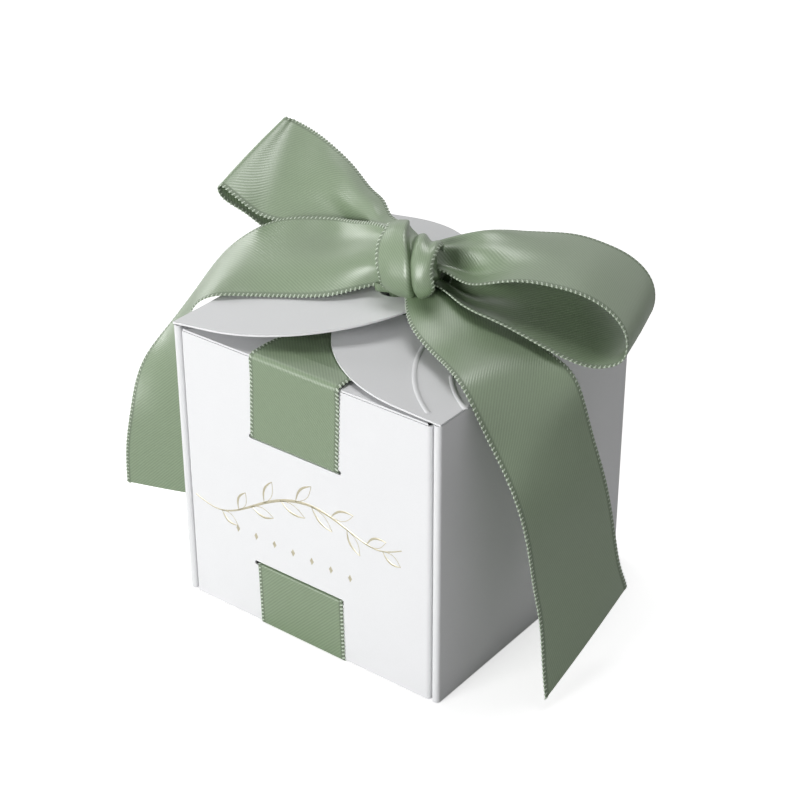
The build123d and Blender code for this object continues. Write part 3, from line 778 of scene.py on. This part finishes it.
def knot_grid():
    """Grid of the band wound round the knot, closed along its length and creased across it."""
    stations = [*knot_stations[-3:], *knot_stations, *knot_stations[:3]]
    angles = np.array([station[0] for station in stations], float)
    angles[:3] -= 360
    angles[-3:] += 360
    values = np.array([[*station[1], *station[2]] for station in stations])
    wanted = knot_stations[0][0] + 360 * np.arange(knot_rows) / knot_rows
    lines = natural_spline(angles, values, wanted)
    count = len(knot_steps) + 1
    columns = np.concatenate([[0.0], *[place + np.arange(1, steps + 1) / steps
                                       for place, steps in enumerate(knot_steps)]])
    across = np.stack([np.interp(columns, np.arange(count), line[:count]) for line in lines]) * mm
    radius = np.stack([np.interp(columns, np.arange(count), line[count:]) for line in lines]) * mm
    for each in (across, radius, across, radius):       # each is smoothed twice
        each[:, 1:-1] = (each[:, :-2] + 2 * each[:, 1:-1] + each[:, 2:]) / 4
    turn = np.radians(wanted)[:, None]
    back = knot_centre.y - radius * np.sin(turn)
    return np.stack([across, back, knot_centre.z + radius * np.cos(turn)], axis=-1)


def ring_solid(name, rings, material):
    """Closed solid through rings of points, with a point at each end."""
    count = len(rings[0])
    points = [point for ring in rings for point in ring]
    first, last = len(points), len(points) + 1
    points += [np.mean(rings[0], axis=0), np.mean(rings[-1], axis=0)]
    faces = []
    for ring in range(len(rings) - 1):
        for step in range(count):
            following = (step + 1) % count
            faces.append((ring * count + step, ring * count + following,
                          (ring + 1) * count + following, (ring + 1) * count + step))
    top = (len(rings) - 1) * count
    for step in range(count):
        following = (step + 1) % count
        faces.append((following, step, first))
        faces.append((top + step, top + following, last))
    return new_piece(name, points, faces, material, 80)


def declare_ribbon(piece, stitches, body, nodes):
    """Put a ribbon piece and its stitches on a body, in place of its plain solids."""
    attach(piece, body)
    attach(stitches, body)
    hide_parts(*nodes)


# Ribbon round the carton


def ribbon_strip(path, offsets):
    """Grid of flat ribbon along a path in Y and Z, with its middle's offset at each end."""
    points = filled_in(path, strip_step)
    share = running_length(points) / running_length(points)[-1]
    middle = offsets[0] + (offsets[1] - offsets[0]) * share
    across = (np.linspace(0, 1, strip_columns) - 0.5) * ribbon_width
    grid = np.empty((len(points), len(across), 3))
    grid[..., 0] = middle[:, None] + across[None, :]
    grid[..., 1] = points[:, 0][:, None]
    grid[..., 2] = points[:, 1][:, None]
    return grid


def flipped(grid):
    """The same strip on the back of the box."""
    turned = grid.copy()
    turned[..., 1] *= -1
    return turned[:, ::-1]


# Raised strokes on the card


def flap_point(side, along, across, lift=0.0):
    """Point on a round flap: how far from its crease, where front to back, and how high over it."""
    tilt = math.radians(left_flap_tilt if side < 0 else right_flap_tilt)
    reach = Vector((-side * math.cos(tilt), 0, math.sin(tilt)))
    facing = Vector((side * math.sin(tilt), 0, math.cos(tilt)))
    return Vector((side * half_width, across, box_height)) + reach * along + facing * lift


def stroke_piece(name, strokes, to_place, height, material):
    """Flat raised strokes, each a list of (x, y, width), placed point by point."""
    points, faces = [], []
    for stroke in strokes:
        line = np.array([point[:2] for point in stroke], float)
        ahead = unit(np.gradient(line, axis=0))
        beside = np.stack([-ahead[:, 1], ahead[:, 0]], axis=1)
        first = len(points)
        for place, normal, (_, _, width) in zip(line, beside, stroke):
            for beside_share, height_share in stroke_profile:
                points.append(to_place(*(place + normal * width * beside_share), height * height_share))
        last = len(stroke) - 1
        for step in range(last):
            near, far = first + 4 * step, first + 4 * (step + 1)
            for corner in range(4):
                following = (corner + 1) % 4
                faces.append((near + corner, near + following, far + following, far + corner))
        faces.append(tuple(first + corner for corner in (3, 2, 1, 0)))
        faces.append(tuple(first + 4 * last + corner for corner in range(4)))
    return new_piece(name, points, faces, material, 60)


# Cross-section of a raised stroke, in shares of its width and height
stroke_profile = [(-0.5, 0.0), (-0.36, 1.0), (0.36, 1.0), (0.5, 0.0)]

# Foil flourish of a leafy sprig, in millimetres on the front face: X to the right and Z up
sprig_stem = [(-33.5, 28.5), (-27.0, 27.0), (-18.0, 30.5), (-8.0, 36.5), (2.0, 39.0), (12.0, 37.0),
              (21.0, 35.0), (27.5, 37.5)]
sprig_leaves = 11
leaf_length = 7.5
leaf_width = 2.4
leaf_lean = 38.0                # degrees from the stem
leaf_roots = (0.14, 0.78)       # first leaf and reach of the rest, as shares of the stem
leaf_sizes = (0.72, 0.28)       # size at the ends and its gain at the middle, as shares
stem_widths = (0.30, 0.75)      # at the ends and at the middle
line_widths = (0.16, 0.42)      # of a leaf's edge: all along it, and its swelling on one side
stem_points = 70
leaf_points = 14
foil_height = 0.05

# Row of diamonds under the sprig
dot_level = 24.0
dot_span = (-20.5, 12.9)
dot_count = 7
dot_size = 1.9
dot_width_share = 0.62          # of a diamond's height
dot_tip = 0.05

# Pressed arcs, in millimetres on the right round flap: centre, radius, and first and last degree
pressed_arcs = [((53.9, 0.0), 40.9, (-121.0, -166.0)), ((53.9, 0.0), 33.0, (-119.0, -143.0))]
arc_width = 1.1
arc_height = 0.16
arc_points = 40


def sprig_strokes():
    """Strokes of the sprig: its stem, and leaves in turn above and below it."""
    stem = np.array(sprig_stem, float)
    places = running_length(stem)
    fine = natural_spline(places, stem, np.linspace(0, places[-1], stem_points))
    share = np.linspace(0, 1, len(fine))
    widths = stem_widths[0] + (stem_widths[1] - stem_widths[0]) * np.sin(np.pi * share) ** 2
    strokes = [[(*point, width) for point, width in zip(fine, widths)]]
    heading = unit(np.gradient(fine, axis=0))
    for leaf in range(sprig_leaves):
        root = int((leaf_roots[0] + leaf_roots[1] * leaf / (sprig_leaves - 1)) * (len(fine) - 1))
        side = 1 if leaf % 2 else -1
        turn = math.radians(leaf_lean * side)
        ahead = heading[root]
        lean = np.array([ahead[0] * math.cos(turn) - ahead[1] * math.sin(turn),
                         ahead[0] * math.sin(turn) + ahead[1] * math.cos(turn)])
        beside = np.array([-lean[1], lean[0]])
        size = leaf_length * (leaf_sizes[0] + leaf_sizes[1] * math.sin(math.pi * leaf / (sprig_leaves - 1)))
        for bow in (-0.5, 0.5):
            stroke = []
            for step in np.linspace(0, 1, leaf_points):
                swell = math.sin(math.pi * step)
                point = fine[root] + lean * size * step + beside * bow * leaf_width * swell
                stroke.append((*point, line_widths[0] + line_widths[1] * swell * (bow * side > 0)))
            strokes.append(stroke)
    return strokes


def dot_strokes():
    """Row of small upright diamonds below the sprig."""
    strokes = []
    for dot in range(dot_count):
        middle = dot_span[0] + (dot_span[1] - dot_span[0]) * dot / (dot_count - 1)
        strokes.append([(middle, dot_level - dot_size / 2, dot_tip),
                        (middle, dot_level, dot_size * dot_width_share),
                        (middle, dot_level + dot_size / 2, dot_tip)])
    return strokes


# Operators, one for each piece or group of like pieces


class FAVORBOX_OT_stage(bpy.types.Operator):
    """Camera at the photograph's angle, lamps, pale floor and white background"""
    bl_idname = "favorbox.stage"
    bl_label = "Stage"

    def execute(self, context):
        settings = context.scene.favor_box_stage
        view = context.scene.view_settings
        view.view_transform = "Standard"

        azimuth, elevation = math.radians(camera_azimuth), math.radians(camera_elevation)
        back = Vector((math.sin(azimuth) * math.cos(elevation), -math.cos(azimuth) * math.cos(elevation),
                       math.sin(elevation)))
        right = Vector((math.cos(azimuth), math.sin(azimuth), 0))
        up = back.cross(right)
        turn = Matrix((right, up, back)).transposed() @ Matrix.Rotation(math.radians(camera_roll), 3, "Z")
        lens = bpy.data.cameras.new("camera")
        lens.sensor_width = sensor_width
        lens.lens = focal_pixels / frame_pixels * sensor_width
        lens.clip_start = 0.01
        lens.clip_end = 20.0
        camera = add_object("camera", lens)
        camera.matrix_world = Matrix.Translation(camera_place) @ turn.to_4x4()
        context.scene.camera = camera

        for name, size, direction, distance in lamps:
            self.lamp(f"{name}_lamp", getattr(settings, f"{name}_power"), size, direction, distance)
        self.world(context, settings.fill_strength)
        self.floor(settings.floor_colour)
        return {"FINISHED"}

    def lamp(self, name, power, size, direction, distance):
        """Square lamp that shines at the middle of the box."""
        light = bpy.data.lights.new(name, "AREA")
        light.energy = power
        light.size = size
        lamp = add_object(name, light)
        toward = Vector(direction).normalized()
        lamp.location = Vector((0, 0, box_height / 2)) + toward * distance
        lamp.rotation_mode = "QUATERNION"
        lamp.rotation_quaternion = toward.to_track_quat("Z", "Y")

    def world(self, context, strength):
        """Soft light from all round, seen as plain white by the camera and in gloss."""
        world = bpy.data.worlds.new("studio")
        context.scene.world = world
        world.use_nodes = True
        studio = Nodes(world.node_tree)
        studio.tree.nodes.clear()
        soft = studio.node("ShaderNodeBackground", {"Color": white, "Strength": strength})
        plain = studio.node("ShaderNodeBackground", {"Color": white})
        rays = studio.node("ShaderNodeLightPath").outputs
        seen = rays["Is Camera Ray"]
        for kind in ("Is Glossy Ray", "Is Transmission Ray"):
            seen = studio.sum("MAXIMUM", seen, rays[kind])
        mixed = studio.node("ShaderNodeMixShader", {0: seen, 1: soft.outputs[0], 2: plain.outputs[0]})
        studio.node("ShaderNodeOutputWorld", {"Surface": mixed.outputs[0]})

    def floor(self, colour):
        """Wide pale floor that keeps the box's shadow and runs out into white."""
        corners = [(-floor_reach, -floor_reach, 0), (floor_reach, -floor_reach, 0),
                   (floor_reach, floor_reach, 0), (-floor_reach, floor_reach, 0)]
        mesh = bpy.data.meshes.new("floor")
        mesh.from_pydata(corners, [], [(0, 1, 2, 3)])
        paper = Finish("floor_paper")
        glow = paper.sum("MULTIPLY", paper.node("ShaderNodeLightPath").outputs["Is Camera Ray"], floor_glow)
        mesh.materials.append(paper.set(Base_Color=solid(colour), Roughness=0.9, Specular_IOR_Level=0.1,
                                        Emission_Color=white, Emission_Strength=glow))
        add_object("floor", mesh)


class FAVORBOX_OT_carton(bpy.types.Operator):
    """Card finish on every panel of the carton"""
    bl_idname = "favorbox.carton"
    bl_label = "Carton"

    def execute(self, context):
        for name in ("base_panel", "front_wall", "back_wall", "left_wall", "right_wall",
                     "front_left_web", "front_right_web", "back_left_web", "back_right_web",
                     "front_flap", "back_flap", "left_flap", "right_flap"):
            panel = frame["nodes"][name]
            panel.data.materials.clear()
            panel.data.materials.append(card_material())
        return {"FINISHED"}


class FAVORBOX_OT_foil(bpy.types.Operator):
    """Leafy sprig and a row of diamonds in pale gold foil on the front wall"""
    bl_idname = "favorbox.foil"
    bl_label = "Foil ornament"

    def execute(self, context):
        def to_front(x, z, level):
            return Vector((x * mm, -half_depth - level * mm, z * mm))

        for name, strokes in (("foil_sprig", sprig_strokes()), ("foil_diamonds", dot_strokes())):
            piece = stroke_piece(name, strokes, to_front, foil_height, foil_material())
            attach(piece, "carton")
        return {"FINISHED"}


class FAVORBOX_OT_scores(bpy.types.Operator):
    """Pressed arcs on the right round flap"""
    bl_idname = "favorbox.scores"
    bl_label = "Pressed arcs"

    def execute(self, context):
        def to_flap(x, y, level):
            return flap_point(1, half_width - x * mm, y * mm, level * mm)

        strokes = []
        for (x, y), radius, (start, finish) in pressed_arcs:
            angles = np.radians(np.linspace(start, finish, arc_points))
            strokes.append([(x + radius * math.cos(angle), y + radius * math.sin(angle), arc_width)
                            for angle in angles])
        piece = stroke_piece("right_flap_pressed_arcs", strokes, to_flap, arc_height, card_material())
        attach(piece, "right_flap_body")
        return {"FINISHED"}


class FAVORBOX_OT_carton_ribbon(bpy.types.Operator):
    """Ribbon woven through the slots, under the base and over the short flaps"""
    bl_idname = "favorbox.carton_ribbon"
    bl_label = "Ribbon round the carton"

    def execute(self, context):
        outside = -half_depth - off_wall
        inside = card - half_depth + off_card
        below = carton_cloth / 2
        low_path = rounded_path([(inside, upper_slot - slot_ends), (inside, lower_slot),
                                 (outside, lower_slot), (outside, below), (0.0, below)], carton_cloth)
        grid = ribbon_strip(low_path, (slot_offset, base_offset))
        self.lay(grid, "front_ribbon_low", ["ribbon_front_inner", "ribbon_front_lower",
                                            "ribbon_under_base"], ["front_wall", "base_panel"])
        self.lay(flipped(grid), "back_ribbon_low", ["ribbon_back_inner", "ribbon_back_lower"],
                 ["back_wall", "base_panel"])
        dip = math.radians(short_flap_dip)
        level = short_crease + off_card
        bulges = [(outside + behind, level + rise) for behind, rise in bend_bulges]
        slot_path = rounded_path([(inside, upper_slot - slot_ends), (inside, upper_slot),
                                  (outside, upper_slot), (outside, short_crease - slot_part_end)],
                                 carton_cloth)
        bend_path = rounded_path([(outside, short_crease - bend_part_start),
                                  (outside - bend_proud, level + bend_proud), *bulges,
                                  (outside + over_flap_length * math.cos(dip),
                                   level - over_flap_length * math.sin(dip))], bend_radius, 12)
        grid = ribbon_strip([*slot_path, *bend_path], (slot_offset, top_offset))
        self.hang(grid, "front_ribbon_high", "front")
        self.hang(flipped(grid), "back_ribbon_high", "back")
        return {"FINISHED"}

    def lay(self, grid, name, nodes, rests_on):
        """Stretch that stays on the walls."""
        piece = cloth_piece(name, grid, carton_cloth, satin_material())
        stitches = stitched(f"{name}_stitches", edge_guides(grid))
        declare_ribbon(piece, stitches, "carton", nodes)

    def hang(self, grid, name, end):
        """Stretch that bends over a short flap's crease."""
        piece = cloth_piece(name, grid, carton_cloth, satin_material())
        stitches = stitched(f"{name}_stitches", edge_guides(grid))
        crease = hinges[f"{end}_flap_hinge"]
        reach = Vector((0, 1 if end == "front" else -1, 1)) * crease_reach
        for each in (piece, stitches):
            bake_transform(each, "carton", f"{end}_flap_body", start=crease - reach, end=crease + reach)
        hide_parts(f"ribbon_{end}_upper", f"ribbon_over_{end}_flap")


class FAVORBOX_OT_bow(bpy.types.Operator):
    """Two loops and two tails of satin with stitched edges"""
    bl_idname = "favorbox.bow"
    bl_label = "Loops and tails"

    def execute(self, context):
        for name, shares, side, pleats, pleat_share in bow_runs:
            grid = run_grid(shares, side, pleats, pleat_share)
            places = running_length(grid[:, columns_across // 2])
            length = float(places[-1])
            if name == "left_tail":          # its ribs slant the other way
                places = length - places
            piece = cloth_piece(f"{name}_ribbon", grid, bow_cloth, satin_material(), places)
            stitches = stitched(f"{name}_stitches", edge_guides(grid))
            declare_ribbon(piece, stitches, "bow", [name])
        return {"FINISHED"}


class FAVORBOX_OT_knot(bpy.types.Operator):
    """Band wound round the knot in two pleats, the turns inside it and the gathered stem"""
    bl_idname = "favorbox.knot"
    bl_label = "Knot"

    def execute(self, context):
        grid = knot_grid()
        lengths = np.arange(knot_rows, 0, -1) * knot_row_length
        band = cloth_piece("knot_band", grid, bow_cloth, satin_material(), lengths, around=True)
        stitches = stitched("knot_band_stitches", edge_guides(grid, around=True))
        declare_ribbon(band, stitches, "bow", ["bow_knot"])

        rings = []
        for step in range(core_rings):
            share = step / (core_rings - 1)
            taper = min(1.0, core_tips[0] + core_rises[0] * share,
                        core_tips[1] + core_rises[1] * (1 - share))
            rings.append(self.core_ring(grid, core_start + (core_end - core_start) * share, taper))
        core = ring_solid("knot_core", rings, satin_material())
        self.wrap_map(core)
        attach(core, "bow")

        low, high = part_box("ribbon_stem")
        centre = (low + high) / 2
        rings = [self.stem_ring(centre, (high - low) / 2, step / (stem_rings - 1))
                 for step in range(stem_rings)]
        stem = ring_solid("stem_gathers", rings, satin_material())
        self.wrap_map(stem)
        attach(stem, "bow")
        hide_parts("ribbon_stem")
        return {"FINISHED"}

    def stem_ring(self, centre, reach, along):
        """Ring of points round the pleated stem, at a share of its height."""
        level = centre.z - reach.z + 2 * reach.z * along
        spread = (level - box_height - ridge(centre.x) - flare_start) / flare_height
        spread = min(max(spread, 0), 1)
        ring = []
        for turn in range(stem_turns):
            angle = 2 * math.pi * turn / stem_turns
            pleat = 1 - stem_pleat_share * (0.5 + 0.5 * math.sin(stem_pleats * angle + along))
            across = reach.x * (pleat + flare_across * spread)
            back = reach.y * (pleat + flare_back * spread)
            ring.append((centre.x - flare_shift * spread + across * math.cos(angle),
                         centre.y + back * math.sin(angle), level))
        return ring

    def core_ring(self, grid, along, taper):
        """Ring of points just inside the band, at a share of its width."""
        across = grid[..., 0]
        left, right = across.min(axis=1), across.max(axis=1)
        place = left + (right - left) * along
        back, rise = grid[..., 1] - knot_centre.y, grid[..., 2] - knot_centre.z
        near = np.abs(across - place[:, None]) < core_window
        reach = np.where(near, np.hypot(back, rise), np.inf).min(axis=1)
        for turn in (1, 2, 4):
            reach = np.minimum(reach, np.minimum(np.roll(reach, turn), np.roll(reach, -turn)))
        reach = (reach - core_clearance) * taper
        angle = np.arctan2(back[:, 0], rise[:, 0])
        return np.stack([place, knot_centre.y + reach * np.sin(angle),
                         knot_centre.z + reach * np.cos(angle)], axis=-1)

    def wrap_map(self, piece):
        """Map a wound piece so that the satin's ribs run over it."""
        low = Vector(piece.bound_box[0])
        give_map(piece, [(vertex.co.x - low.x + vertex.co.z - low.z, ribbon_width / 2 + vertex.co.y)
                         for vertex in piece.data.vertices])


class FAVORBOX_PT_panel(bpy.types.Panel):
    """Steps and settings of the favor box"""
    bl_label = "Favor box"
    bl_idname = "FAVORBOX_PT_panel"
    bl_space_type = "VIEW_3D"
    bl_region_type = "UI"
    bl_category = "Favor box"

    def draw(self, context):
        for step in steps:
            self.layout.operator(step.bl_idname)
        for settings in ("favor_box_card", "favor_box_ribbon", "favor_box_stage"):
            group = getattr(context.scene, settings)
            box = self.layout.box()
            for name in group.bl_rna.properties.keys():
                if name not in ("rna_type", "name"):
                    box.prop(group, name)


steps = (FAVORBOX_OT_stage, FAVORBOX_OT_carton, FAVORBOX_OT_foil, FAVORBOX_OT_scores,
         FAVORBOX_OT_carton_ribbon, FAVORBOX_OT_bow, FAVORBOX_OT_knot)
groups = {"favor_box_card": FavorBoxCard, "favor_box_ribbon": FavorBoxRibbon,
          "favor_box_stage": FavorBoxStage}


def register():
    for group in groups.values():
        bpy.utils.register_class(group)
    for name, group in groups.items():
        setattr(bpy.types.Scene, name, bpy.props.PointerProperty(type=group))
    for step in (*steps, FAVORBOX_PT_panel):
        bpy.utils.register_class(step)


def unregister():
    for step in reversed((*steps, FAVORBOX_PT_panel)):
        bpy.utils.unregister_class(step)
    for name in groups:
        delattr(bpy.types.Scene, name)
    for group in groups.values():
        bpy.utils.unregister_class(group)


def main():
    """Make the whole box."""
    register()
    bpy.ops.favorbox.stage()
    bpy.ops.favorbox.carton()
    bpy.ops.favorbox.foil()
    bpy.ops.favorbox.scores()
    bpy.ops.favorbox.carton_ribbon()
    bpy.ops.favorbox.bow()
    bpy.ops.favorbox.knot()


if __name__ == "__main__":
    main()
